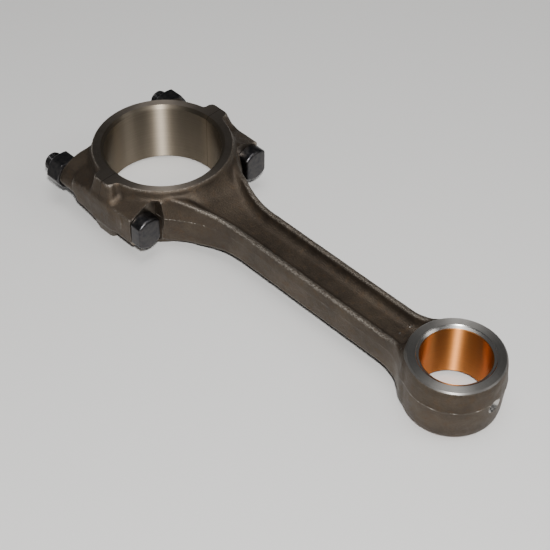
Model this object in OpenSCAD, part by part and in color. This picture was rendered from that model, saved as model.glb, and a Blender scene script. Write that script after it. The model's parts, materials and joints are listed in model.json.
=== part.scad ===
// Connecting rod of a mid-size industrial diesel engine, with its bolted big-end cap.
// The origin is the middle of the big-end bore, +Z runs along the crankpin and +X towards the small end.

/* [Rod] */
// Distance between the centres of the two bores
centre_distance = 219; // [200:1:240]
// Width of the I-beam shank across its flanges
shank_width = 26; // [24:0.5:28]
// Thickness of the I-beam shank over its flanges
shank_thickness = 21; // [19:0.5:23]
// Thickness of the web between the flanges
web_thickness = 8; // [6:0.5:11]
// Width of each flange's ridge
flange_width = 3.2; // [2.6:0.1:4.5]
// Height of the forging's flash line above the middle plane
flash_z = 3.5; // [0:0.5:5]
// Draft angle of the forged walls
draft_angle = 4; // [2:0.5:6]

/* [Big end] */
// Radius of the big-end bore that holds the bearing shells
big_bore_r = 33.6; // [33.2:0.1:33.8]
// Width of the big end across its machined faces
big_width = 39.4; // [38:0.2:41]
// Outer radius of the machined ring face
big_face_r = 40.2; // [39.8:0.1:40.6]
// Size of the chamfer at both mouths of the big-end bore
big_chamfer = 1.8; // [1:0.1:2.2]
// Reach of the full-width lugs either side of the joint, from the middle
lug_reach = 46.8; // [46:0.2:47.6]

/* [Small end] */
// Width of the small end across its machined faces
small_width = 34.2; // [32:0.2:36]
// Outer radius of the small end's upper machined face
small_face_r = 25.6; // [25:0.1:26.4]
// Radius of the bore that the bush is pressed into
small_bore_r = 20.2; // [20:0.1:20.4]
// Inside radius of the bush
pin_bore_r = 18.5; // [18:0.1:18.8]
// Radius of the oil hole in the tip of the small end
oil_hole_r = 2.2; // [1.5:0.1:2.6]

/* [Cap bolts and nuts] */
// Distance of each bolt's axis from the middle plane
bolt_offset = 40.7; // [40.4:0.1:41]
// Radius of the bolts
bolt_r = 5.55; // [5.2:0.05:5.6]
// Radial clearance of the bolts in their holes and in the nuts
bolt_clearance = 0.05; // [0.02:0.01:0.1]
// Radius of the bolt heads
head_r = 10; // [9.5:0.1:10.4]
// Half the distance between the two flats of a bolt head
head_flat = 7.6; // [7.2:0.1:7.8]
// Thickness of the bolt heads
head_height = 7.9; // [7:0.1:9]
// Width of the nuts across their flats
nut_across_flats = 17.5; // [16.5:0.1:18]
// Thickness of the nuts
nut_height = 10; // [9:0.1:11]
// Length of bolt that stands out of each nut
bolt_projection = 7.4; // [4:0.1:9]

/* [Bolt bosses] */
// Length of the rod's half of each bolt boss
rod_boss_length = 26.5; // [24:0.5:28]
// Length of the cap's half of each bolt boss, from the joint to the nut's seat
cap_boss_length = 35; // [34:0.5:37]
// Half the height of the bolt bosses
boss_half_height = 11.4; // [10.8:0.1:12]

/* [Hidden] */
$fn = 96;

slope = tan(draft_angle);
big_half = big_width / 2;
small_half = small_width / 2;
// Both eyes are barrels: the walls lean in from the flash line, and more so near the two faces
shoulder_height = 6;
shoulder_inset = 0.9;
big_flash_r = eye_flash_r(big_face_r, big_half);
small_flash_r = eye_flash_r(small_face_r, small_half);

// Rounding of the bolt bosses around the bolt's axis, and the pocket milled beside each bolt head
boss_corner_r = 8.2;
boss_inner_y = 28;
pocket_y = bolt_offset - head_flat - 4.3;
pocket_half_height = 14;

// The flanks of the shank sweep out to the eyes along arcs that are tangent to its straight sides
half_shank = shank_width / 2;
big_sweep_r = 62;
big_sweep_x = 76;
small_sweep_r = 32;
small_sweep_x = centre_distance - 38;
small_root_y = small_flash_r - 3.8;

// The flanges rise from the shank to the eyes
flange_z = shank_thickness / 2;
big_ridge_z = 15.5;
small_ridge_z = 12.5;
web_z = web_thickness / 2;

// The lugs on either side of the joint are as wide as the machined faces
lug_cap_length = 7.4;
lug_rod_length = 6.2;
lug_rod_foot = 12;

bush_chamfer = 0.95;
bush_half = small_half - 0.45;
hole_r = bolt_r + bolt_clearance;
bolt_tip_x = -(cap_boss_length + nut_height + bolt_projection);
nut_corner_r = nut_across_flats / sqrt(3);
edge = 0.8;

forged = [0.16, 0.13, 0.11];
machined = [0.42, 0.41, 0.39];
blackened = [0.09, 0.09, 0.1];
bronze = [0.72, 0.42, 0.2];

// Radius of an eye at the flash line, from the radius of its upper face
function eye_flash_r(face_r, half) =
  face_r + shoulder_inset + (half - shoulder_height - flash_z) * slope;

// A forged eye: a barrel that is widest at the flash line
module eye(face_r, half) {
  flash_r = eye_flash_r(face_r, half);
  knee_z = half - shoulder_height;
  lower_knee_r = flash_r - (knee_z + flash_z) * slope;
  rotate_extrude()
    polygon([
      [0, -half], [lower_knee_r - shoulder_inset, -half], [lower_knee_r, -knee_z],
      [flash_r, flash_z], [face_r + shoulder_inset, knee_z], [face_r, half], [0, half]
    ]);
}

// Removes a bore along Z with a chamfer at both mouths
module chamfered_bore(r, half, chamfer) {
  rotate_extrude()
    polygon([
      [0, -half - 1], [r + chamfer + 1, -half - 1], [r, -half + chamfer],
      [r, half - chamfer], [r + chamfer + 1, half + 1], [0, half + 1]
    ]);
}

// Cross-section of one bolt boss, looking along the bolt: x is across the rod, y is up
module boss_section() {
  corner_z = boss_half_height - boss_corner_r;
  translate([boss_inner_y, -boss_half_height])
    square([bolt_offset - boss_inner_y, 2 * boss_half_height]);
  translate([boss_inner_y, -corner_z])
    square([bolt_offset + boss_corner_r - boss_inner_y, 2 * corner_z]);
  for (side = [-1, 1])
    translate([bolt_offset, side * corner_z]) circle(r = boss_corner_r);
}

// A bolt boss from x = from to x = to, on the +Y side
module boss(from, to) {
  translate([from, 0, 0]) rotate([90, 0, 90])
    linear_extrude(to - from) boss_section();
}

// The full-width lug at the joint, on the +Y side; side_view gives its outline from the side
module lug(side_view, reach) {
  upper = reach - (big_half - flash_z) * slope;
  lower = reach - (big_half + flash_z) * slope;
  intersection() {
    translate([-30, 0, 0]) rotate([90, 0, 90])
      linear_extrude(60)
        polygon([
          [boss_inner_y, -big_half], [lower, -big_half], [reach, flash_z],
          [upper, big_half], [boss_inner_y, big_half]
        ]);
    rotate([90, 0, 0]) translate([0, 0, -60]) linear_extrude(60) polygon(side_view);
  }
}

// Outline of the shank with its swept ends, seen from above; inset pulls its sides in
module shank_outline(inset) {
  difference() {
    union() {
      translate([20, inset - pocket_y])
        square([big_sweep_x - 20, 2 * (pocket_y - inset)]);
      translate([big_sweep_x - 1, inset - small_root_y])
        square([centre_distance - big_sweep_x + 1, 2 * (small_root_y - inset)]);
    }
    for (side = [-1, 1]) {
      translate([big_sweep_x, side * (half_shank + big_sweep_r)])
        circle(r = big_sweep_r + inset);
      translate([small_sweep_x, side * (half_shank + small_sweep_r)])
        circle(r = small_sweep_r + inset);
      translate([big_sweep_x, side > 0 ? half_shank - inset : -half_shank + inset - 60])
        square([small_sweep_x - big_sweep_x, 60]);
    }
  }
}

// Outline of the shank from the side: the flanges rise towards both eyes
module shank_side() {
  polygon([
    [20, -big_ridge_z], [34, -big_ridge_z], [big_sweep_x, -flange_z],
    [small_sweep_x, -flange_z], [centre_distance - 20, -small_ridge_z],
    [centre_distance, -small_ridge_z], [centre_distance, small_ridge_z],
    [centre_distance - 20, small_ridge_z], [small_sweep_x, flange_z],
    [big_sweep_x, flange_z], [34, big_ridge_z], [20, big_ridge_z]
  ]);
}

// The channel between the flanges on the upper side; the walls of the eyes close both its ends
module channel() {
  translate([0, 0, web_z]) linear_extrude(30) shank_outline(flange_width);
}

module shank() {
  difference() {
    intersection() {
      translate([0, 0, -30]) linear_extrude(60) shank_outline(0);
      translate([0, 60, 0]) rotate([90, 0, 0]) linear_extrude(120) shank_side();
    }
    channel();
    mirror([0, 0, 1]) channel();
  }
}

// Both bolt holes, from x = from to x = to
module bolt_holes(from, to) {
  for (side = [-1, 1])
    translate([from, side * bolt_offset, 0]) rotate([0, 90, 0])
      cylinder(r = hole_r, h = to - from);
}

module rod_body() {
  side_view = [
    [0, -big_half], [lug_rod_length, -big_half], [lug_rod_foot, -boss_half_height],
    [lug_rod_foot, boss_half_height], [lug_rod_length, big_half], [0, big_half]
  ];
  color(forged)
    difference() {
      union() {
        intersection() {
          eye(big_face_r, big_half);
          translate([0, -60, -30]) cube([60, 120, 60]);
        }
        shank();
        translate([centre_distance, 0, 0])
          eye(small_face_r, small_half);
        for (flip = [0, 1])
          mirror([0, flip, 0]) {
            boss(0, rod_boss_length);
            lug(side_view, lug_reach);
          }
      }
      chamfered_bore(big_bore_r, big_half, big_chamfer);
      bolt_holes(-1, rod_boss_length + 1);
      for (flip = [0, 1])
        mirror([0, flip, 0])
          translate([rod_boss_length, pocket_y, -pocket_half_height])
            cube([20, 30, 2 * pocket_half_height]);
      translate([centre_distance, 0, 0])
        chamfered_bore(small_bore_r, small_half, 0.5);
      // Oil hole in the tip, with its countersink
      translate([centre_distance, 0, 0]) rotate([0, 90, 0]) {
        cylinder(r = oil_hole_r, h = 40);
        translate([0, 0, small_flash_r - 3.2]) cylinder(r1 = oil_hole_r, r2 = oil_hole_r + 5, h = 5);
      }
    }
}

module big_end_cap() {
  side_view = [
    [0, -big_half], [0, big_half], [-lug_cap_length, big_half],
    [-lug_cap_length - 1.2, boss_half_height], [-lug_cap_length - 1.2, -boss_half_height],
    [-lug_cap_length, -big_half]
  ];
  color(forged)
    difference() {
      union() {
        intersection() {
          eye(big_face_r, big_half);
          translate([-60, -60, -30]) cube([60, 120, 60]);
        }
        for (flip = [0, 1])
          mirror([0, flip, 0]) {
            boss(-cap_boss_length, 0);
            lug(side_view, lug_reach);
          }
      }
      chamfered_bore(big_bore_r, big_half, big_chamfer);
      bolt_holes(-cap_boss_length - 1, 1);
    }
}

// Bush with a conical lead at both ends and an oil hole towards the tip
module small_end_bush() {
  color(bronze)
    translate([centre_distance, 0, 0])
      difference() {
        rotate_extrude()
          polygon([
            [pin_bore_r, -bush_half + bush_chamfer], [small_bore_r, -bush_half],
            [small_bore_r, bush_half], [pin_bore_r, bush_half - bush_chamfer]
          ]);
        rotate([0, 90, 0]) cylinder(r = oil_hole_r, h = 40);
      }
}

// A bolt along X: a bevelled head with two flats, a plain shank and a bevelled tip
module cap_bolt() {
  color(blackened) {
    intersection() {
      translate([rod_boss_length, 0, 0]) rotate([0, 90, 0])
        rotate_extrude()
          polygon([
            [0, 0], [head_r, 0], [head_r, head_height - edge],
            [head_r - edge, head_height], [0, head_height]
          ]);
      translate([rod_boss_length - 1, -head_flat, -20])
        cube([head_height + 2, 2 * head_flat, 40]);
    }
    translate([bolt_tip_x, 0, 0]) rotate([0, 90, 0])
      rotate_extrude()
        polygon([
          [0, 0], [bolt_r - 1.2, 0], [bolt_r, 1.2],
          [bolt_r, rod_boss_length - bolt_tip_x + 1], [0, rod_boss_length - bolt_tip_x + 1]
        ]);
  }
}

// A hexagon nut whose corners are bevelled at both faces
module cap_nut() {
  bevel = nut_corner_r - nut_across_flats / 2;
  color(blackened)
    translate([-cap_boss_length - nut_height, 0, 0]) rotate([0, 90, 0])
      difference() {
        intersection() {
          rotate([0, 0, 30]) cylinder(r = nut_corner_r, h = nut_height, $fn = 6);
          rotate_extrude()
            polygon([
              [0, 0], [nut_across_flats / 2 - 0.3, 0], [nut_corner_r + 0.2, bevel * 0.7],
              [nut_corner_r + 0.2, nut_height - bevel * 0.7],
              [nut_across_flats / 2 - 0.3, nut_height], [0, nut_height]
            ]);
        }
        translate([0, 0, -1]) cylinder(r = hole_r, h = nut_height + 2);
      }
}

module cap_bolt_left() { translate([0, bolt_offset, 0]) cap_bolt(); }
module cap_bolt_right() { translate([0, -bolt_offset, 0]) cap_bolt(); }
module cap_nut_left() { translate([0, bolt_offset, 0]) cap_nut(); }
module cap_nut_right() { translate([0, -bolt_offset, 0]) cap_nut(); }

rod_body();
big_end_cap();
small_end_bush();
cap_bolt_left();
cap_bolt_right();
cap_nut_left();
cap_nut_right();
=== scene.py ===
"""Looks of a forged connecting rod with a bolted cap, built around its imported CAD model.

The forged rod and cap are solid fields in millimetres, turned into meshes and then cut with exact
tools for every machined surface. Bolts, nuts and bush are modelled directly. Blender units are metres.
"""
import json
import math

import bpy
import numpy as np
from mathutils import Matrix, Vector


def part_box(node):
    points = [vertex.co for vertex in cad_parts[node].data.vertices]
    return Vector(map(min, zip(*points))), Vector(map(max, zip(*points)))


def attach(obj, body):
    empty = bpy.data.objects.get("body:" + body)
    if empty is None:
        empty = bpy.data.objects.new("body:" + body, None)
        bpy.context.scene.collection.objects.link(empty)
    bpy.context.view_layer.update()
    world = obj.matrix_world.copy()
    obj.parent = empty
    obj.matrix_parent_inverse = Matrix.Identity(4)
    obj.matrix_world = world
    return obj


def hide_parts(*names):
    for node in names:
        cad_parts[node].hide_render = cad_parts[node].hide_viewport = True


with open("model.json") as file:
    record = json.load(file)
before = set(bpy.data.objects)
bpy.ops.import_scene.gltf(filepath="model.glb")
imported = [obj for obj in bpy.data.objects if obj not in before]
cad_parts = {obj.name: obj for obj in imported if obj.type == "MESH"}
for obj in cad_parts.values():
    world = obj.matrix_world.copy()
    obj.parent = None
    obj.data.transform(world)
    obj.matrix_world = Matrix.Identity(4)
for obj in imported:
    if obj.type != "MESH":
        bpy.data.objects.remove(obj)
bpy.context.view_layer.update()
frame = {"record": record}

# ---------------------------------------------------------------- sizes, in millimetres
MM = 0.001


def box_mm(node):
    """Lowest and highest corner of a CAD node, in millimetres."""
    low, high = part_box(node)
    return np.array(low) / MM, np.array(high) / MM


rod_low, rod_high = box_mm("rod_body")
bush_low, bush_high = box_mm("small_end_bush")
bolt_low, bolt_high = box_mm("cap_bolt_left")
nut_low, nut_high = box_mm("cap_nut_left")
mounts = {m["name"]: m["dims"] for m in frame["record"]["mounts"]}

BIG_HALF = rod_high[2]
BIG_BORE_R = mounts["big_end_bore"]["r_mm"]
BIG_CHAMFER = 1.8
BIG_FACE_R = 40.2
PIN_R = mounts["small_end_bore"]["r_mm"]
SMALL_X = (bush_low[0] + bush_high[0]) / 2
SMALL_BORE_R = (bush_high[1] - bush_low[1]) / 2
BUSH_HALF = bush_high[2]
SMALL_HALF = BUSH_HALF + 0.45
SMALL_FACE_R = 25.6
RIM_R = 25.0  # where the chamfer round the small end's face starts
RIM_SLOPE = 1.0976
SWEEP_R = 32
MID_X = 120  # on the shank, where the two ends' face heights meet
BOSS_Y = rod_high[1]
BOLT_Y = (bolt_low[1] + bolt_high[1]) / 2
BOLT_R = 5.55
HOLE_R = 5.6
HEAD_R = bolt_high[2]
HEAD_FLAT = (bolt_high[1] - bolt_low[1]) / 2
HEAD_FRONT = bolt_high[0]
HEAD_SEAT = HEAD_FRONT - 7.9
BOLT_TIP = bolt_low[0]
NUT_OUTER = nut_low[0]
NUT_SEAT = nut_high[0]
NUT_FLAT = nut_high[2]
FLASH_Z = 3.5
DRAFT = math.tan(math.radians(4))
POCKET_Y = 29.8
POCKET_HALF = 14.6
NUT_SEAT_Y = 23.2
OIL_HOLE_R = 2.2
LINING_WALL = 0.4
CLEAR = 60  # far enough out for a cutter to clear the rod
VOXEL = 0.64


# ---------------------------------------------------------------- fields
def round_max(a, b, r):
    """Where both fields hold, with their outer corner rounded to radius r."""
    corner = np.hypot(np.maximum(a + r, 0), np.maximum(b + r, 0))
    return corner + np.minimum(np.maximum(a, b) + r, 0) - r


def round_min(a, b, r):
    """Where either field holds, with a fillet of radius r between them."""
    return -round_max(-a, -b, r)


def smoothstep(low, high, value):
    t = np.clip((value - low) / (high - low), 0, 1)
    return t * t * (3 - 2 * t)


def eye_radius(z, face_r, half):
    """Radius of a forged eye at height z: widest at the flash line, pulled in towards both faces."""
    pull_depth = 6.0
    knee = half - pull_depth
    flash_r = face_r + 0.9 + (knee - FLASH_Z) * DRAFT
    pull = np.clip((np.abs(z) - knee) / pull_depth, 0, 1)
    return flash_r - np.abs(z - FLASH_Z) * DRAFT - 0.9 * pull ** 2 + 0.4 * pull


def arc_depth(distance, radius, reach):
    """How deep an arc of that radius still is after that distance; it stays put past reach."""
    along = np.clip(distance, 0, reach)
    return np.sqrt(radius ** 2 - along ** 2)


def small_arc(x):
    """Depth of the arc on which the shank sweeps out towards the small end."""
    return arc_depth(x - (SMALL_X - 38), SWEEP_R, 20.6)


def shank_half_width(x):
    """Half width of the shank at the flash line: straight, and swept out to both eyes."""
    return 13.1 + (62 - arc_depth(76 - x, 62, 61.9)) + (SWEEP_R - small_arc(x))


def ridge_path(x):
    """Distance of a flange ridge's outer edge from the middle plane."""
    near = np.logaddexp(0, (70 - x) / 3.0) * 3.0
    flare = 2.6 * smoothstep(46, 30, x)
    return 12.9 + 0.295 * near + flare + SWEEP_R - small_arc(x)


def ridge_height(x):
    """Height of the flange ridges above the middle plane, rising towards both eyes."""
    to_big = 4.7 * smoothstep(76, 30, x)
    beside_ring = 1.2 * smoothstep(44, 31, x)
    to_small = 2.2 * smoothstep(SMALL_X - 42, SMALL_X - 22, x)
    return 10.5 + to_big + beside_ring + to_small


def shank_field(x, ay, z):
    """The I-beam: drafted flanks with a ridge along each side and a channel in each face."""
    az = np.abs(z)
    height = ridge_height(x)
    ridge = ridge_path(x)
    flank = shank_half_width(x)
    lean = np.maximum(flank - ridge, 0)
    above = (z - FLASH_Z) / (height - FLASH_Z)
    below = (FLASH_Z - z) / (height + FLASH_Z)
    share = np.clip(np.where(z > FLASH_Z, above, below), 0, 1)
    side = ay - (flank - lean * share ** 1.3 - 0.03 * np.abs(z - FLASH_Z))
    outer = round_max(side, az - height, 1.3)
    ridge_width = 3.3
    inner = np.minimum(flank, ridge) - ridge_width
    wall = (ay - (inner - (height - az) * 0.34)) * 0.94
    away = np.clip((np.hypot(x, ay) - 41.5) / 34, 0, 1)
    saddle = 5.0 * (ay / 24) ** 2 * smoothstep(92, 62, x)
    floor = (4.1 + 8.2 * (1 - away) ** 2.0 + saddle - az) * 0.96
    channel = round_max(wall, floor, 3.4)
    field = round_max(outer, -channel, 1.0)
    return np.maximum(field, np.maximum(20 - x, x - (SMALL_X - 17.4)))


def lug_field(x, ay, z, side):
    """The full-width lug on one side of the joint; side is its sloping end face, as a field."""
    az = np.abs(z)
    flank = ay - (BOSS_Y - 0.05 * np.abs(z - FLASH_Z) - 0.22 * np.maximum(az - 8, 0))
    return round_max(round_max(side, flank, 3.2), 24 - ay, 0.5)


def machined(field, z, half, shoulder=1.15):
    """Rounds a forging over just past its machined faces, which are cut exactly later."""
    return round_max(field, np.abs(z) - half - 0.3 * shoulder, shoulder)


def rod_field(x, y, z):
    """The forged rod before machining: big-end half with its bosses and lugs, shank, small end."""
    ay, az = np.abs(y), np.abs(z)
    ring = np.hypot(x, y) - eye_radius(z, BIG_FACE_R, BIG_HALF)
    small = np.hypot(x - SMALL_X, y) - eye_radius(z, SMALL_FACE_R, SMALL_HALF)
    fillet = 1.2 + 5.8 * smoothstep(23, 10, ay)
    field = round_min(ring, shank_field(x, ay, z), fillet)
    field = round_min(field, small, 5.0)
    top = (az - np.minimum(9.4 + (48 - ay) * 0.38, 14.0)) * 0.94
    boss = round_max(ay - (BOSS_Y - 0.05 * np.abs(z - FLASH_Z)), top, 1.1)
    boss = np.maximum(boss, np.maximum(x - HEAD_SEAT - 5, 22 - ay))
    field = round_min(field, boss, 2.6)
    slope = (x - 6.3 + (az - BIG_HALF) * 0.35) * 0.944
    field = round_min(field, lug_field(x, ay, z, slope), 2.4)
    half = np.where(x < MID_X, BIG_HALF, SMALL_HALF)
    shoulder = 1.15 + 1.9 * smoothstep(12, 34, x) * (x < MID_X)
    return np.maximum(machined(field, z, half, shoulder), -x - 1.0)


def cap_field(x, y, z):
    """The forged cap before machining: half ring, tapering bosses and lugs."""
    ay, az = np.abs(y), np.abs(z)
    ring = np.hypot(x, y) - eye_radius(z, BIG_FACE_R, BIG_HALF)
    lug_part = smoothstep(-24.2, -21.8, x + 0.24 * z)
    corner = 7.4 - 5.9 * lug_part
    slant = np.clip(7 + 0.175 * (x + 23), 6.5, 10.2) + (48 - ay) * 0.4
    top = round_max((az - slant) * 0.93, az - 11.6, 1.0)
    boss = round_max(ay - (BOSS_Y - 0.04 * np.abs(z - FLASH_Z)), top, corner)
    boss = np.maximum(boss, np.maximum(NUT_SEAT - 1 - x, 22 - ay))
    field = round_min(ring, boss, 3.0)
    slope = (-x - 7.9) * 0.995 + (az - BIG_HALF) * 0.1
    field = round_min(field, lug_field(x, ay, z, slope), 1.6)
    return np.maximum(machined(field, z, BIG_HALF), x - 1.0)


# ---------------------------------------------------------------- from fields to meshes
def surface_net(field, low, step):
    """Vertices and outward quads of a sampled field's zero surface."""
    inside = field < 0
    corners = [(i, j, k) for i in (0, 1) for j in (0, 1) for k in (0, 1)]
    size = [n - 1 for n in field.shape]
    count = np.zeros(size, np.int8)
    for i, j, k in corners:
        count += inside[i:size[0] + i, j:size[1] + j, k:size[2] + k]
    active = (count > 0) & (count < 8)
    cells = np.argwhere(active)
    number = np.full(size, -1, np.int64)
    number[active] = np.arange(len(cells))
    ci, cj, ck = cells.T
    values = np.stack([field[ci + i, cj + j, ck + k] for i, j, k in corners], 1)
    total, hits = np.zeros((len(cells), 3)), np.zeros(len(cells))
    for a in range(8):
        for b in range(a + 1, 8):
            pa, pb = np.array(corners[a], float), np.array(corners[b], float)
            if np.abs(pa - pb).sum() != 1:
                continue
            va, vb = values[:, a], values[:, b]
            crossing = (va < 0) != (vb < 0)
            t = np.where(crossing, va / np.where(crossing, va - vb, 1), 0)
            total += crossing[:, None] * (pa + t[:, None] * (pb - pa))
            hits += crossing
    vertices = (cells + total / hits[:, None]) * step + low
    quads = []
    for axis in range(3):
        u, v = (axis + 1) % 3, (axis + 2) % 3
        ahead = np.moveaxis(inside, axis, 0)
        change = np.argwhere(np.moveaxis(ahead[1:] != ahead[:-1], 0, axis))
        change = change[(change[:, u] > 0) & (change[:, v] > 0)]
        eu, ev = np.eye(3, dtype=int)[u], np.eye(3, dtype=int)[v]
        around = [change - eu - ev, change - ev, change, change - eu]
        quad = np.stack([number[p[:, 0], p[:, 1], p[:, 2]] for p in around], 1)
        solid_first = inside[change[:, 0], change[:, 1], change[:, 2]]
        quads.append(np.where(solid_first[:, None], quad, quad[:, ::-1]))
    return vertices, np.concatenate(quads)


def relaxed(vertices, quads, rounds=2, share=0.45):
    """Moves each vertex part of the way to the middle of its neighbours."""
    edges = np.concatenate([quads[:, [i, (i + 1) % 4]] for i in range(4)])
    start, end = edges[:, 0], edges[:, 1]
    count = np.bincount(start, minlength=len(vertices))
    count = count + np.bincount(end, minlength=len(vertices))
    for _ in range(rounds):
        middle = np.empty_like(vertices)
        for axis in range(3):
            total = np.bincount(start, vertices[end, axis], len(vertices))
            total += np.bincount(end, vertices[start, axis], len(vertices))
            middle[:, axis] = total / count
        vertices = vertices + share * (middle - vertices)
    return vertices


def lattice_noise(points, scale, seed):
    """Smooth noise between -1 and 1 with features of about that scale, the same on every run."""
    p = points / scale
    cell = np.floor(p).astype(np.int64)
    f = p - cell
    f = f * f * (3 - 2 * f)
    total = np.zeros(len(points))
    for i in (0, 1):
        for j in (0, 1):
            for k in (0, 1):
                h = (cell[:, 0] + i) * 73856093 ^ (cell[:, 1] + j) * 19349663
                h = h ^ (cell[:, 2] + k) * 83492791
                h = (h ^ seed * 2654435761) & 0x7FFFFFFF
                h = (h * 1103515245 + 12345) & 0x7FFFFFFF
                h = ((h >> 7) * 69069 + 7) & 0xFFFF
                weight = (f[:, 0] if i else 1 - f[:, 0]) * (f[:, 1] if j else 1 - f[:, 1])
                weight = weight * (f[:, 2] if k else 1 - f[:, 2])
                total += weight * (h / 32767.5 - 1)
    return total


def new_object(name, vertices, faces):
    mesh = bpy.data.meshes.new(name)
    mesh.from_pydata(vertices, [], faces)
    mesh.validate()
    mesh.update()
    obj = bpy.data.objects.new(name, mesh)
    bpy.context.scene.collection.objects.link(obj)
    return obj


def forge(name, field, low, high):
    """A forging's mesh in metres: the field's surface with forged skin and the ragged flash line."""
    low, high = np.array(low, float), np.array(high, float)
    axes = [np.arange(low[i], high[i] + VOXEL, VOXEL, dtype=np.float32) for i in range(3)]
    x, y, z = np.meshgrid(*axes, indexing="ij", sparse=True)
    vertices, quads = surface_net(field(x, y, z).astype(np.float32), low, VOXEL)
    vertices = relaxed(vertices, quads)
    obj = new_object(name, vertices * MM, quads.tolist())
    normals = np.empty(len(vertices) * 3, np.float32)
    obj.data.vertex_normals.foreach_get("vector", normals)
    normals = normals.reshape(-1, 3).astype(float)
    px, py, pz = vertices.T
    skin = 0.05 * lattice_noise(vertices, 6.0, 1) + 0.035 * lattice_noise(vertices, 2.4, 2)
    skin += 0.022 * lattice_noise(vertices, 1.2, 3) - 0.04
    rim = np.where(px < MID_X, BIG_HALF, SMALL_HALF) - np.abs(pz)
    skin *= 0.15 + 0.85 * smoothstep(0.6, 2.6, rim)
    upright = np.clip(1.15 - 1.6 * np.abs(normals[:, 2]), 0, 1)
    ragged = 0.55 + 0.8 * lattice_noise(vertices, 5.0, 4) + 0.3 * lattice_noise(vertices, 1.3, 5)
    flash = 0.36 * np.exp(-((pz - FLASH_Z) / 0.55) ** 2) * np.clip(ragged, 0.1, 1.3)
    step = 0.12 * np.tanh((pz - FLASH_Z) / 0.4) * np.exp(-((pz - FLASH_Z) / 4.0) ** 2)
    trimmed = smoothstep(50, 60, px) * smoothstep(SMALL_X - 12, SMALL_X - 19, px)
    trimmed = np.maximum(trimmed, smoothstep(43, 45.5, np.abs(py)))
    trimmed = np.maximum(trimmed, smoothstep(SMALL_X + 24.5, SMALL_X + 26, px))
    vertices = vertices + normals * (skin + upright * (1 - 0.85 * trimmed) * (flash + step))[:, None]
    obj.data.vertices.foreach_set("co", (vertices * MM).astype(np.float32).ravel())
    obj.data.update()
    return obj


def block(low, high):
    """A cutter box in metres between two corners given in millimetres."""
    xs, ys, zs = zip(low, high)
    corners = [[x, y, z] for x in xs for y in ys for z in zs]
    faces = [(0, 1, 3, 2), (4, 6, 7, 5), (0, 4, 5, 1), (2, 3, 7, 6), (0, 2, 6, 4), (1, 5, 7, 3)]
    return new_object("block", np.array(corners, float) * MM, faces)


def lathe(name, profile, segments=192, axis="Z", centre=(0, 0, 0)):
    """A closed solid of revolution in metres; profile is a list of (radius, height) in millimetres."""
    vertices, faces, rings = [], [], []
    for r, h in profile:
        ring = []
        steps = 1 if r == 0 else segments
        for i in range(steps):
            angle = 2 * math.pi * i / segments
            ring.append(len(vertices))
            vertices.append((r * math.cos(angle), r * math.sin(angle), h))
        rings.append(ring)
    closed = profile[0][0] > 0
    pairs = list(zip(rings, rings[1:]))
    if closed:
        pairs.append((rings[-1], rings[0]))
    for a, b in pairs:
        for i in range(segments):
            j = (i + 1) % segments
            if len(a) == 1:
                faces.append((a[0], b[j], b[i]))
            elif len(b) == 1:
                faces.append((a[i], a[j], b[0]))
            else:
                faces.append((a[i], a[j], b[j], b[i]))
    points = np.array(vertices, float)
    if axis == "X":
        points = points[:, [2, 0, 1]]
    points = (points + np.array(centre, float)) * MM
    return new_object(name, points, faces)


def bore_profile(r, half, chamfer):
    over = 1.0
    return [
        (0, -half - over), (r + chamfer + over, -half - over), (r, -half + chamfer),
        (r, half - chamfer), (r + chamfer + over, half + over), (0, half + over),
    ]


def carve(obj, cutter, operation="DIFFERENCE"):
    """Applies a boolean and removes the cutter."""
    modifier = obj.modifiers.new("cut", "BOOLEAN")
    modifier.operation = operation
    modifier.solver = "MANIFOLD"
    modifier.object = cutter
    depsgraph = bpy.context.evaluated_depsgraph_get()
    mesh = bpy.data.meshes.new_from_object(obj.evaluated_get(depsgraph))
    if len(mesh.polygons) == 0:
        raise RuntimeError(f"the cut of {obj.name} by {cutter.name} left nothing")
    obj.modifiers.clear()
    mesh.materials.clear()
    obj.data = mesh
    bpy.data.objects.remove(cutter)


def face_off(obj, start, end, half, sign):
    """Cuts a forging flat at height half above (sign 1) or below the middle, between two x."""
    low, high = sorted((sign * half, sign * 30))
    carve(obj, block((start, -CLEAR, low), (end, CLEAR, high)))


def drill_for_bolts(obj, start, end):
    """Drills both bolt holes along X, between two x."""
    for sign in (-1, 1):
        hole = [(0, start), (HOLE_R, start), (HOLE_R, end), (0, end)]
        carve(obj, lathe("bolt_hole", hole, 64, "X", (0, sign * BOLT_Y, 0)))


def mark_wear_highlight_and_shade(obj):
    """Stores how worn each vertex is, with a painted highlight on the same convex places, from how
    strongly the surface bends outwards there; and how hollow it is, for painted shade in the hollows.
    """
    mesh = obj.data
    count = len(mesh.vertices)
    places, normals = np.empty(count * 3, np.float32), np.empty(count * 3, np.float32)
    mesh.vertices.foreach_get("co", places)
    mesh.vertices.foreach_get("normal", normals)
    places = places.reshape(-1, 3).astype(float) / MM
    normals = normals.reshape(-1, 3).astype(float)
    edges = np.empty(len(mesh.edges) * 2, np.int32)
    mesh.edges.foreach_get("vertices", edges)
    start, end = edges.reshape(-1, 2).T
    step = places[end] - places[start]
    length = np.maximum((step ** 2).sum(1), 0.01)
    bend = np.clip((step * (normals[end] - normals[start])).sum(1) / length, -0.9, 0.9)
    near = np.bincount(start, minlength=count) + np.bincount(end, minlength=count)
    near = near + 1e-9
    value = (np.bincount(start, bend, count) + np.bincount(end, bend, count)) / near
    for _ in range(3):
        around = np.bincount(start, value[end], count)
        around = (around + np.bincount(end, value[start], count)) / near
        value = 0.5 * value + 0.5 * around
    # Convex edges and ridges: partly real wear, partly painted highlight.
    worn_and_highlit = smoothstep(0.10, 0.42, value) * smoothstep(0.3, 1.4, np.abs(places[:, 0]))
    # Concave hollows: painted shade.
    hollow = smoothstep(0.05, 0.25, -value)
    for name, amount in (("wear", worn_and_highlit), ("hollow", hollow)):
        attribute = mesh.attributes.new(name, "FLOAT", "POINT")
        attribute.data.foreach_set("value", amount.astype(np.float32))


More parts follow.
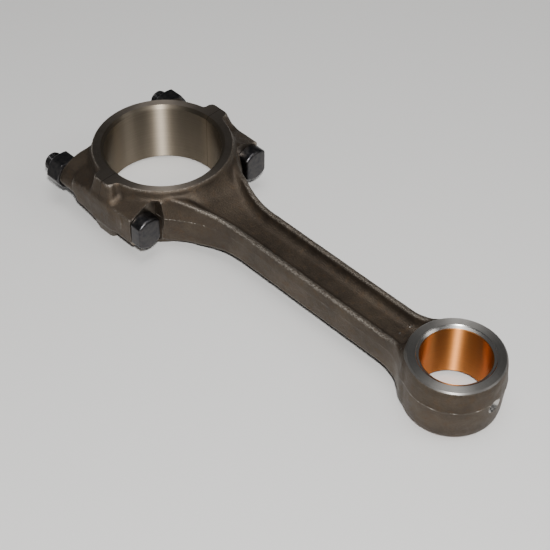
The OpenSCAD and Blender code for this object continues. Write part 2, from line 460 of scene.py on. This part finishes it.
def smooth(obj, angle=32):
    """Smooth shading with sharp edges where faces meet at more than this angle, in degrees."""
    obj.data.polygons.foreach_set("use_smooth", [True] * len(obj.data.polygons))
    obj.data.set_sharp_from_angle(angle=math.radians(angle))


def paint(obj, materials, choose):
    """Gives each face the material whose number choose() returns, with sharp edges between them.

    choose() gets the faces' centres in millimetres and their normals.
    """
    for material in materials:
        obj.data.materials.append(material)
    count = len(obj.data.polygons)
    centres, normals = np.empty(count * 3, np.float32), np.empty(count * 3, np.float32)
    obj.data.polygons.foreach_get("center", centres)
    obj.data.polygons.foreach_get("normal", normals)
    number = choose(centres.reshape(-1, 3).astype(float) / MM, normals.reshape(-1, 3))
    obj.data.polygons.foreach_set("material_index", number.astype(np.int32))
    loops = np.empty(count, np.int32)
    obj.data.polygons.foreach_get("loop_total", loops)
    edges = np.empty(len(obj.data.loops), np.int32)
    obj.data.loops.foreach_get("edge_index", edges)
    of_loop = np.repeat(number, loops)
    total = len(obj.data.edges)
    lowest, highest = np.full(total, len(materials)), np.full(total, -1)
    np.minimum.at(lowest, edges, of_loop)
    np.maximum.at(highest, edges, of_loop)
    sharp = np.empty(total, bool)
    obj.data.edges.foreach_get("use_edge_sharp", sharp)
    obj.data.edges.foreach_set("use_edge_sharp", sharp | (lowest != highest))
    obj.data.update()


# ---------------------------------------------------------------- materials
def material(name, metallic, roughness, base, specular=0.5):
    """A new material; returns its tree's helpers as a small dict."""
    made = bpy.data.materials.new(name)
    made.use_nodes = True
    tree = made.node_tree
    shader = tree.nodes["Principled BSDF"]
    shader.inputs["Metallic"].default_value = metallic
    shader.inputs["Roughness"].default_value = roughness
    shader.inputs["Base Color"].default_value = (*base, 1)
    shader.inputs["Specular IOR Level"].default_value = specular
    place = tree.nodes.new("ShaderNodeTexCoord")
    return {"material": made, "tree": tree, "shader": shader, "place": place.outputs["Object"]}


def noise(m, scale, detail=4.0, roughness=0.55, stretch=None):
    """A noise texture's value over the piece; scale is per metre, stretch scales each axis."""
    tree = m["tree"]
    node = tree.nodes.new("ShaderNodeTexNoise")
    node.inputs["Scale"].default_value = scale
    node.inputs["Detail"].default_value = detail
    node.inputs["Roughness"].default_value = roughness
    source = m["place"]
    if stretch:
        mapping = tree.nodes.new("ShaderNodeMapping")
        mapping.inputs["Scale"].default_value = stretch
        tree.links.new(source, mapping.inputs["Vector"])
        source = mapping.outputs["Vector"]
    tree.links.new(source, node.inputs["Vector"])
    return node.outputs["Fac"]


def ramp(m, value, stops):
    """A colour ramp; stops are (position, colour or grey)."""
    node = m["tree"].nodes.new("ShaderNodeValToRGB")
    elements = node.color_ramp.elements
    while len(elements) < len(stops):
        elements.new(0.5)
    for element, (position, colour) in zip(elements, stops):
        element.position = position
        element.color = (*colour, 1) if hasattr(colour, "__len__") else (colour, colour, colour, 1)
    m["tree"].links.new(value, node.inputs["Fac"])
    return node.outputs["Color"]


def mix(m, factor, a, b, blend="MIX"):
    node = m["tree"].nodes.new("ShaderNodeMix")
    node.data_type = "RGBA"
    node.blend_type = blend
    for value, socket in ((factor, node.inputs[0]), (a, node.inputs[6]), (b, node.inputs[7])):
        if isinstance(value, bpy.types.NodeSocket):
            m["tree"].links.new(value, socket)
        elif hasattr(value, "__len__"):
            socket.default_value = (*value, 1)
        else:
            socket.default_value = value
    return node.outputs[2]


def maths(m, operation, a, b=0.0, clamp=False):
    node = m["tree"].nodes.new("ShaderNodeMath")
    node.operation = operation
    node.use_clamp = clamp
    for value, socket in ((a, node.inputs[0]), (b, node.inputs[1])):
        if isinstance(value, bpy.types.NodeSocket):
            m["tree"].links.new(value, socket)
        else:
            socket.default_value = value
    return node.outputs[0]


def bump(m, height, strength, distance):
    """Adds a bump on top of any that the shader has; distance in metres."""
    node = m["tree"].nodes.new("ShaderNodeBump")
    node.inputs["Strength"].default_value = strength
    node.inputs["Distance"].default_value = distance
    m["tree"].links.new(height, node.inputs["Height"])
    socket = m["shader"].inputs["Normal"]
    if socket.is_linked:
        m["tree"].links.new(socket.links[0].from_socket, node.inputs["Normal"])
    m["tree"].links.new(node.outputs["Normal"], socket)


def stored(m, name):
    """A value stored on the vertices by the function that marks wear with painted highlight and painted
    shade.
    """
    node = m["tree"].nodes.new("ShaderNodeAttribute")
    node.attribute_name = name
    return node.outputs["Fac"]


def edge_wear_and_highlight(m, low, high):
    """High where the surface is convex, such as along ridges and edges, for wear and painted highlight
    there.
    """
    geometry = m["tree"].nodes.new("ShaderNodeNewGeometry")
    return ramp(m, geometry.outputs["Pointiness"], [(low, 0.0), (high, 1.0)])


def vector_maths(m, operation, a, b=None):
    """A vector operation on two sockets or constants; its outputs."""
    node = m["tree"].nodes.new("ShaderNodeVectorMath")
    node.operation = operation
    for value, socket in ((a, node.inputs[0]), (b, node.inputs[1])):
        if isinstance(value, bpy.types.NodeSocket):
            m["tree"].links.new(value, socket)
        elif value is not None:
            socket.default_value = value
    return node.outputs


def separated(m, vector):
    """The X, Y and Z of a vector socket."""
    node = m["tree"].nodes.new("ShaderNodeSeparateXYZ")
    m["tree"].links.new(vector, node.inputs[0])
    return node.outputs


def from_bore(m, centre_x):
    """Place relative to the vertical line through centre_x (mm)."""
    return vector_maths(m, "SUBTRACT", m["place"], (centre_x * MM, 0, 0))[0]


def turned(m, centre_x, amount):
    """Anisotropic gloss as left by a tool that turned about the vertical line through centre_x (mm)."""
    along = vector_maths(m, "CROSS_PRODUCT", (0, 0, 1), from_bore(m, centre_x))[0]
    unit = vector_maths(m, "NORMALIZE", along)[0]
    m["tree"].links.new(unit, m["shader"].inputs["Tangent"])
    m["shader"].inputs["Anisotropic"].default_value = amount
    m["shader"].inputs["Anisotropic Rotation"].default_value = 0.25


def ring_marks(m, centre_x, scale):
    """Noise that follows circles about the vertical line through centre_x (mm), for turned faces."""
    flat = vector_maths(m, "MULTIPLY", from_bore(m, centre_x), (1, 1, 0))[0]
    radius = vector_maths(m, "LENGTH", flat)["Value"]
    node = m["tree"].nodes.new("ShaderNodeTexNoise")
    node.noise_dimensions = "1D"
    node.inputs["Scale"].default_value = scale
    node.inputs["Detail"].default_value = 3.0
    m["tree"].links.new(radius, node.inputs["W"])
    return node.outputs["Fac"]


def within(m, distance, reach):
    """1 where the distance is nought, falling to 0 at reach (metres)."""
    share = maths(m, "DIVIDE", distance, reach)
    return maths(m, "SUBTRACT", 1.0, share, clamp=True)


def flash_line(m):
    """High in broken dashes along the trimmed flash, on upright walls only."""
    place = separated(m, m["place"])
    geometry = m["tree"].nodes.new("ShaderNodeNewGeometry")
    tilt = separated(m, geometry.outputs["True Normal"])
    wobble = maths(m, "MULTIPLY", noise(m, 160, 2), 0.0012)
    height = maths(m, "SUBTRACT", maths(m, "ADD", place["Z"], wobble), (FLASH_Z + 0.6) * MM)
    near = within(m, maths(m, "ABSOLUTE", height), 0.00045)
    upright = ramp(m, maths(m, "ABSOLUTE", tilt["Z"]), [(0.35, 1.0), (0.6, 0.0)])
    dashes = ramp(m, noise(m, 330, 3, 0.7), [(0.50, 0.0), (0.60, 1.0)])
    stretches = ramp(m, noise(m, 75, 2), [(0.40, 0.0), (0.52, 1.0)])
    dashes = maths(m, "MULTIPLY", dashes, stretches)
    ends = [(50, 1.0), (60, 0.12), (SMALL_X - 19, 0.12), (SMALL_X - 12, 1.0)]
    shank = ramp(m, place["X"], [(x * MM, share) for x, share in ends])
    boss = ramp(m, maths(m, "ABSOLUTE", place["Y"]), [(0.043, 1.0), (0.0455, 0.0)])
    line = maths(m, "MULTIPLY", maths(m, "MULTIPLY", near, upright), dashes)
    return maths(m, "MULTIPLY", line, maths(m, "MULTIPLY", shank, boss))


def joint_line(m):
    """High within a hair's breadth of the joint between rod and cap, where dirt settles."""
    return within(m, maths(m, "ABSOLUTE", separated(m, m["place"])["X"]), 0.00022)


def forged_steel():
    m = material("forged_skin", 0.85, 0.42, (0.13, 0.105, 0.08))
    blotch = noise(m, 55, 3)
    patch = noise(m, 260, 5, 0.6)
    grain = noise(m, 1300, 4, 0.65)
    fine = noise(m, 4200, 2)
    scale_colour = ramp(m, blotch, [(0.32, (0.058, 0.044, 0.032)), (0.68, (0.098, 0.075, 0.053))])
    rust = ramp(m, patch, [(0.52, 0.0), (0.74, 0.5)])
    colour = mix(m, rust, scale_colour, (0.12, 0.074, 0.040))
    colour = mix(m, ramp(m, grain, [(0.3, 0.45), (0.6, 0.0)]), colour, (0.035, 0.030, 0.026))
    # Painted shade: darker in the concave hollows.
    colour = mix(m, maths(m, "MULTIPLY", stored(m, "hollow"), 0.45), colour, (0.045, 0.037, 0.030))
    speckle = ramp(m, grain, [(0.42, 0.10), (0.60, 0.85)])
    # Lighter on convex edges and ridges: partly real wear, partly painted highlight.
    wear = maths(m, "MULTIPLY", stored(m, "wear"), speckle)
    colour = mix(m, wear, colour, (0.34, 0.31, 0.27))
    colour = mix(m, flash_line(m), colour, (0.75, 0.70, 0.62))
    colour = mix(m, joint_line(m), colour, (0.02, 0.017, 0.015))
    m["tree"].links.new(colour, m["shader"].inputs["Base Color"])
    metal = maths(m, "SUBTRACT", 0.82, maths(m, "MULTIPLY", wear, 0.4))
    m["tree"].links.new(metal, m["shader"].inputs["Metallic"])
    rough = ramp(m, patch, [(0.3, 0.43), (0.7, 0.57)])
    m["tree"].links.new(rough, m["shader"].inputs["Roughness"])
    bump(m, grain, 0.8, 0.00035)
    bump(m, fine, 0.35, 0.00008)
    return m["material"]


def machined_face(name, centre_x, base, roughness, marks=2600):
    m = material(name, 1.0, roughness, base)
    turned(m, centre_x, 0.7)
    rings = ring_marks(m, centre_x, marks)
    stain = noise(m, 130, 4, 0.6)
    dark = tuple(c * 0.62 for c in base)
    colour = mix(m, ramp(m, stain, [(0.38, 0.0), (0.66, 0.85)]), base, dark)
    light = tuple(c * 1.25 for c in base)
    colour = mix(m, ramp(m, rings, [(0.35, 0.0), (0.65, 0.35)]), colour, light)
    if centre_x == 0:
        colour = mix(m, joint_line(m), colour, (0.02, 0.017, 0.015))
    m["tree"].links.new(colour, m["shader"].inputs["Base Color"])
    rough = ramp(m, stain, [(0.3, roughness * 0.85), (0.7, roughness * 1.3)])
    m["tree"].links.new(rough, m["shader"].inputs["Roughness"])
    bump(m, rings, 0.2, 0.00002)
    bump(m, noise(m, 500, 3), 0.06, 0.00006)
    return m["material"]


def bored(name, centre_x, base, roughness, anisotropy):
    """A bored and honed wall, with fine marks that run round it."""
    m = material(name, 1.0, roughness, base)
    turned(m, centre_x, anisotropy)
    hone = noise(m, 1, 3, 0.6, stretch=(9, 9, 4200))
    broad = noise(m, 1, 2, 0.5, stretch=(14, 14, 300))
    dark = tuple(c * 0.80 for c in base)
    colour = mix(m, ramp(m, hone, [(0.35, 0.0), (0.65, 1.0)]), dark, base)
    colour = mix(m, ramp(m, broad, [(0.35, 0.18), (0.6, 0.0)]), colour, dark)
    if centre_x == 0:
        colour = mix(m, joint_line(m), colour, (0.04, 0.035, 0.03))
    m["tree"].links.new(colour, m["shader"].inputs["Base Color"])
    rough = ramp(m, hone, [(0.3, roughness * 0.92), (0.7, roughness * 1.08)])
    m["tree"].links.new(rough, m["shader"].inputs["Roughness"])
    bump(m, hone, 0.05, 0.00001)
    return m["material"]


def milled_steel():
    m = material("milled_steel", 1.0, 0.40, (0.22, 0.19, 0.16))
    stripes = noise(m, 1, 3, 0.6, stretch=(300, 300, 2600))
    stain = noise(m, 300, 4)
    colour = ramp(m, stain, [(0.3, (0.16, 0.135, 0.11)), (0.7, (0.28, 0.245, 0.205))])
    m["tree"].links.new(colour, m["shader"].inputs["Base Color"])
    rough = ramp(m, stripes, [(0.3, 0.30), (0.7, 0.45)])
    m["tree"].links.new(rough, m["shader"].inputs["Roughness"])
    bump(m, stripes, 0.3, 0.00004)
    return m["material"]


def black_oxide():
    m = material("black_oxide", 1.0, 0.34, (0.06, 0.06, 0.065))
    stain = noise(m, 420, 5, 0.6)
    grain = noise(m, 3000, 3)
    colour = ramp(m, stain, [(0.3, (0.040, 0.040, 0.045)), (0.7, (0.085, 0.080, 0.078))])
    speckle = ramp(m, grain, [(0.35, 0.3), (0.6, 1.0)])
    # Lighter on convex edges: partly real wear, partly painted highlight.
    wear = maths(m, "MULTIPLY", edge_wear_and_highlight(m, 0.54, 0.66), speckle)
    colour = mix(m, wear, colour, (0.33, 0.32, 0.31))
    m["tree"].links.new(colour, m["shader"].inputs["Base Color"])
    rough = ramp(m, stain, [(0.3, 0.28), (0.7, 0.42)])
    m["tree"].links.new(rough, m["shader"].inputs["Roughness"])
    bump(m, grain, 0.25, 0.00006)
    return m["material"]


FORGED = forged_steel()
BIG_FACE = machined_face("big_end_face", 0, (0.25, 0.215, 0.18), 0.42)
SMALL_FACE = machined_face("small_end_face", SMALL_X, (0.34, 0.325, 0.305), 0.42)
BIG_BORE = bored("big_end_bore", 0, (0.33, 0.280, 0.215), 0.50, 1.0)
SMALL_MOUTH = bored("small_end_mouth", SMALL_X, (0.55, 0.53, 0.50), 0.26, 0.5)
LINING = bored("bronze_lining", SMALL_X, (0.68, 0.275, 0.075), 0.48, 1.0)
MILLED = milled_steel()
BLACK = black_oxide()

# ---------------------------------------------------------------- rod
rod = forge("forged_rod", rod_field, (-2.2, -51, -22), (249, 51, 22))
carve(rod, block((-9, -CLEAR, -30), (0, CLEAR, 30)))
for sign in (-1, 1):
    face_off(rod, -5, MID_X, BIG_HALF, sign)
    face_off(rod, MID_X, 270, SMALL_HALF, sign)
    near, far = sorted((sign * POCKET_Y, sign * CLEAR))
    carve(rod, block((HEAD_SEAT, near, -POCKET_HALF), (HEAD_SEAT + 20, far, POCKET_HALF)))
carve(rod, lathe("big_bore", bore_profile(BIG_BORE_R, BIG_HALF, BIG_CHAMFER), 256))
carve(rod, lathe("small_bore", bore_profile(SMALL_BORE_R, SMALL_HALF, 0.5), centre=(SMALL_X, 0, 0)))
drill_for_bolts(rod, -2, HEAD_SEAT + 2)
for sign in (-1, 1):
    rim = [
        (RIM_R - 0.9, (SMALL_HALF + 1.0) * sign), (RIM_R + 2.2, (SMALL_HALF + 1.0) * sign),
        (RIM_R + 2.2, (SMALL_HALF - 2.4) * sign),
    ]
    carve(rod, lathe("small_rim", rim[::-sign], 256, centre=(SMALL_X, 0, 0)))
oil = [
    (0, 15), (OIL_HOLE_R, 15), (OIL_HOLE_R, 24.3), (3.9, 26.2), (5.2, 27.4), (8.5, 30.0), (0, 30.0),
]
carve(rod, lathe("oil_hole", oil, 64, "X", (SMALL_X, 0, 0)))


def rod_faces(c, n):
    """Numbers: 0 forged, 1 big-end face, 2 small-end face, 3 big bore, 4 small mouth, 5 milled."""
    number = np.zeros(len(c), int)
    small = c[:, 0] > MID_X
    half = np.where(small, SMALL_HALF, BIG_HALF)
    top = (np.abs(n[:, 2]) > 0.995) & (np.abs(np.abs(c[:, 2]) - half) < 0.02)
    number[top & ~small] = 1
    number[top & small] = 2
    small_r = np.hypot(c[:, 0] - SMALL_X, c[:, 1])
    on_rim = np.abs((small_r - RIM_R) * RIM_SLOPE - SMALL_HALF + np.abs(c[:, 2])) < 0.03
    number[on_rim & (small_r > RIM_R) & (np.abs(n[:, 2]) > 0.6)] = 2
    big_r = np.hypot(c[:, 0], c[:, 1])
    number[(big_r < BIG_BORE_R + BIG_CHAMFER + 0.02) & ~top & (np.abs(c[:, 2]) < BIG_HALF)] = 3
    number[(small_r < SMALL_BORE_R + 0.52) & ~top] = 4
    number[(np.abs(c[:, 0]) < 0.02) & (n[:, 0] < -0.9)] = 5
    number[(np.abs(c[:, 0] - HEAD_SEAT) < 0.1) & (n[:, 0] > 0.97)] = 5
    tip = (c[:, 0] > SMALL_X + SMALL_BORE_R + 0.6) & (np.hypot(c[:, 1], c[:, 2]) < 6.5) & (n[:, 0] < 0.9)
    number[tip] = 4
    return number


smooth(rod)
mark_wear_highlight_and_shade(rod)
paint(rod, [FORGED, BIG_FACE, SMALL_FACE, BIG_BORE, SMALL_MOUTH, MILLED], rod_faces)

# ---------------------------------------------------------------- cap
cap = forge("forged_cap", cap_field, (-44.0, -51, -22), (2.2, 51, 22))
carve(cap, block((0, -CLEAR, -30), (9, CLEAR, 30)))
for sign in (-1, 1):
    face_off(cap, -CLEAR, 5, BIG_HALF, sign)
    near, far = sorted((sign * NUT_SEAT_Y, sign * CLEAR))
    carve(cap, block((-CLEAR, near, -30), (NUT_SEAT, far, 30)))
carve(cap, lathe("big_bore", bore_profile(BIG_BORE_R, BIG_HALF, BIG_CHAMFER), 256))
drill_for_bolts(cap, NUT_SEAT - 2, 2)


def cap_faces(c, n):
    """Numbers: 0 forged, 1 big-end face, 2 big bore, 3 milled."""
    number = np.zeros(len(c), int)
    top = (np.abs(n[:, 2]) > 0.995) & (np.abs(np.abs(c[:, 2]) - BIG_HALF) < 0.02)
    number[top] = 1
    number[(np.hypot(c[:, 0], c[:, 1]) < BIG_BORE_R + BIG_CHAMFER + 0.02) & ~top] = 2
    number[(np.abs(c[:, 0]) < 0.02) & (n[:, 0] > 0.9)] = 3
    number[(np.abs(c[:, 0] - NUT_SEAT) < 0.1) & (n[:, 0] < -0.97)] = 3
    return number


smooth(cap)
mark_wear_highlight_and_shade(cap)
paint(cap, [FORGED, BIG_FACE, BIG_BORE, MILLED], cap_faces)

# ---------------------------------------------------------------- bush
mouth_depth = 0.95
slope = mouth_depth / (SMALL_BORE_R - PIN_R)
edge_z = BUSH_HALF - mouth_depth
bush = lathe("small_end_bush_piece", [
    (PIN_R, -edge_z), (PIN_R, edge_z), (PIN_R + LINING_WALL, edge_z + LINING_WALL * slope),
    (SMALL_BORE_R - 0.02, BUSH_HALF), (SMALL_BORE_R - 0.02, -BUSH_HALF),
    (PIN_R + LINING_WALL, -edge_z - LINING_WALL * slope),
][::-1], 192, "Z", (SMALL_X, 0, 0))
oil = [(0, 15), (OIL_HOLE_R, 15), (OIL_HOLE_R, 24), (0, 24)]
carve(bush, lathe("bush_oil_hole", oil, 64, "X", (SMALL_X, 0, 0)))
smooth(bush, 20)


def bush_faces(c, n):
    """Numbers: 0 bronze lining, 1 steel shell."""
    r = np.hypot(c[:, 0] - SMALL_X, c[:, 1])
    return np.where(r < PIN_R + LINING_WALL, 0, 1)


paint(bush, [LINING, SMALL_MOUTH], bush_faces)


# ---------------------------------------------------------------- bolts and nuts
def loft(name, rings, centre, closed=False):
    """A solid along X through rings of (x, y, z) points in mm, with fan caps or closed on itself."""
    count = len(rings[0])
    vertices = [p for ring in rings for p in ring]
    faces = []
    spans = len(rings) if closed else len(rings) - 1
    for a in range(spans):
        b = (a + 1) % len(rings)
        for i in range(count):
            j = (i + 1) % count
            faces.append((a * count + i, a * count + j, b * count + j, b * count + i))
    if not closed:
        for ring, flip in ((0, True), (len(rings) - 1, False)):
            middle = np.mean(rings[ring], axis=0)
            vertices.append(tuple(middle))
            m = len(vertices) - 1
            for i in range(count):
                j = (i + 1) % count
                face = (m, ring * count + i, ring * count + j)
                faces.append(face[::-1] if flip else face)
    points = (np.array(vertices, float) + np.array(centre, float)) * MM
    return new_object(name, points, faces)


def head_outline(inset, points=160):
    """Outline of the two-flatted head in the plane across the bolt, pulled in by inset."""
    r, flat, soft = HEAD_R - inset, HEAD_FLAT - inset, 0.5
    outline = []
    for i in range(points):
        angle = 2 * math.pi * i / points
        y, z = r * math.cos(angle), r * math.sin(angle)
        over = abs(y) - flat
        if over > -soft:
            short = (soft - over) ** 2 / (4 * soft) if over < soft else 0.0
            y = math.copysign(flat - short, y)
        outline.append((y, z))
    return outline


def threaded(x, angle, pitch=1.27, depth=0.74):
    """Radius of the rolled thread at a place along and round the bolt."""
    phase = (x / pitch - angle / (2 * math.pi)) % 1.0
    ramp_up = min(1.0, max(0.0, (abs(phase - 0.5) * 2 - 0.12) / 0.76))
    return BOLT_R - depth * (1 - ramp_up)


def bolt(name, y):
    """A cap bolt: rolled thread where its tip stands out, plain shank, two-flatted head."""
    rings = []
    step, points = 0.085, 160
    turns = [2 * math.pi * k / points for k in range(points)]
    tip_r = BOLT_R - 1.2
    thread_end = NUT_SEAT + 1.0
    for i in range(int((thread_end - BOLT_TIP) / step) + 1):
        x = BOLT_TIP + i * step
        limit = tip_r + (x - BOLT_TIP) * 1.05
        ring = []
        for angle in turns:
            r = min(threaded(x, angle), limit)
            ring.append((x, r * math.cos(angle), r * math.sin(angle)))
        rings.append(ring)
    rings.insert(0, [(BOLT_TIP, p[1] * 0.55, p[2] * 0.55) for p in rings[0]])

    def outline(x, shape):
        rings.append([(x, *p) for p in shape])

    circle = [(BOLT_R * math.cos(angle), BOLT_R * math.sin(angle)) for angle in turns]
    outline(thread_end + 0.6, circle)
    outline(HEAD_SEAT, circle)
    outline(HEAD_SEAT, head_outline(0.35))
    outline(HEAD_SEAT + 0.35, head_outline(0.0))
    bevel, steps = 1.7, 8
    for i in range(steps + 1):
        turn = math.pi / 2 * i / steps
        inset = bevel * (1 - math.cos(turn))
        outline(HEAD_FRONT - bevel + bevel * math.sin(turn), head_outline(inset))
    inner = [(p[0] * 0.6, p[1] * 0.6) for p in head_outline(bevel)]
    outline(HEAD_FRONT, inner)
    piece = loft(name, rings, (0, y, 0))
    smooth(piece, 35)
    piece.data.materials.append(BLACK)
    return piece


def nut(name, y):
    """A hexagon nut with both faces chamfered and its hole countersunk."""
    points, cut_off = 192, 0.1575
    corner_r = NUT_FLAT * 2 / math.sqrt(3)
    face_r, tilt = NUT_FLAT - 0.25, 0.58
    hexagon = []
    for i in range(points):
        angle = 2 * math.pi * i / points
        past_flat = (angle - math.pi / 2 + math.pi / 6) % (math.pi / 3) - math.pi / 6
        hexagon.append((angle, min(NUT_FLAT / math.cos(past_flat), corner_r - cut_off)))

    def ring(radius, x):
        return [(x, radius * math.cos(a), radius * math.sin(a)) for a, _ in hexagon]

    def rim(x, sign, inset=0.0):
        places = [(a, r - inset) for a, r in hexagon]
        return [
            (x + sign * (r - face_r) * tilt, r * math.cos(a), r * math.sin(a)) for a, r in places
        ]

    sink, soft = 0.7, 0.12
    rings = [
        ring(HOLE_R, NUT_OUTER + sink), ring(HOLE_R + sink, NUT_OUTER), ring(face_r, NUT_OUTER),
        rim(NUT_OUTER, 1, soft), rim(NUT_OUTER + soft, 1),
        rim(NUT_SEAT - soft, -1), rim(NUT_SEAT, -1, soft),
        ring(face_r, NUT_SEAT), ring(HOLE_R + sink, NUT_SEAT), ring(HOLE_R, NUT_SEAT - sink),
    ]
    piece = loft(name, rings, (0, y, 0), closed=True)
    smooth(piece, 25)
    piece.data.materials.append(BLACK)
    return piece


# ---------------------------------------------------------------- what each piece rides on
def install(piece, body, node):
    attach(piece, body)
    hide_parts(node)


install(rod, "rod", "rod_body")
install(cap, "cap", "big_end_cap")
install(bush, "rod", "small_end_bush")
for side, y in (("left", BOLT_Y), ("right", -BOLT_Y)):
    install(bolt(f"bolt_{side}_piece", y), f"bolt_{side}", f"cap_bolt_{side}")
    install(nut(f"nut_{side}_piece", y), f"nut_{side}", f"cap_nut_{side}")

# ---------------------------------------------------------------- floor, camera and light
floor = new_object("floor", [(-4, -4, 0), (4, -4, 0), (4, 4, 0), (-4, 4, 0)], [(0, 1, 2, 3)])
floor.location.z = rod_low[2] * MM
pale = material("pale_floor", 0.0, 0.55, (0.78, 0.77, 0.75))
floor.data.materials.append(pale["material"])

camera_data = bpy.data.cameras.new("camera")
camera_data.lens = 100.62
camera_data.sensor_width = 36
camera_data.clip_end = 20
camera = bpy.data.objects.new("camera", camera_data)
bpy.context.scene.collection.objects.link(camera)
right = Vector((0.70391, 0.71022, 0.01029))
up = Vector((-0.51168, 0.49698, 0.70086))
back = Vector((0.49265, -0.49860, 0.71323))
turn = Matrix((right, up, back)).transposed().to_4x4()
camera.matrix_world = Matrix.Translation((0.51215, -0.42629, 0.59001)) @ turn
bpy.context.scene.camera = camera


def soft_light(name, place, aim, size, power, colour=(1, 1, 1)):
    data = bpy.data.lights.new(name, "AREA")
    data.shape = "DISK"
    data.size = size
    data.energy = power
    data.color = colour
    light = bpy.data.objects.new(name, data)
    light.location = place
    light.rotation_mode = "QUATERNION"
    light.rotation_quaternion = (Vector(aim) - Vector(place)).to_track_quat("-Z", "Y")
    bpy.context.scene.collection.objects.link(light)


middle = (0.1, 0.0, 0.0)
soft_light("key", (0.617, -0.482, 0.843), middle, 0.07, 14)
soft_light("fill", (0.90, 0.50, 0.85), middle, 0.5, 2.0)
soft_light("overhead", (0.1, 0.0, 2.4), middle, 1.4, 17)

world = bpy.data.worlds.new("world")
bpy.context.scene.world = world
world.use_nodes = True
world.node_tree.nodes["Background"].inputs["Color"].default_value = (0.97, 0.98, 1.0, 1)
world.node_tree.nodes["Background"].inputs["Strength"].default_value = 0.11
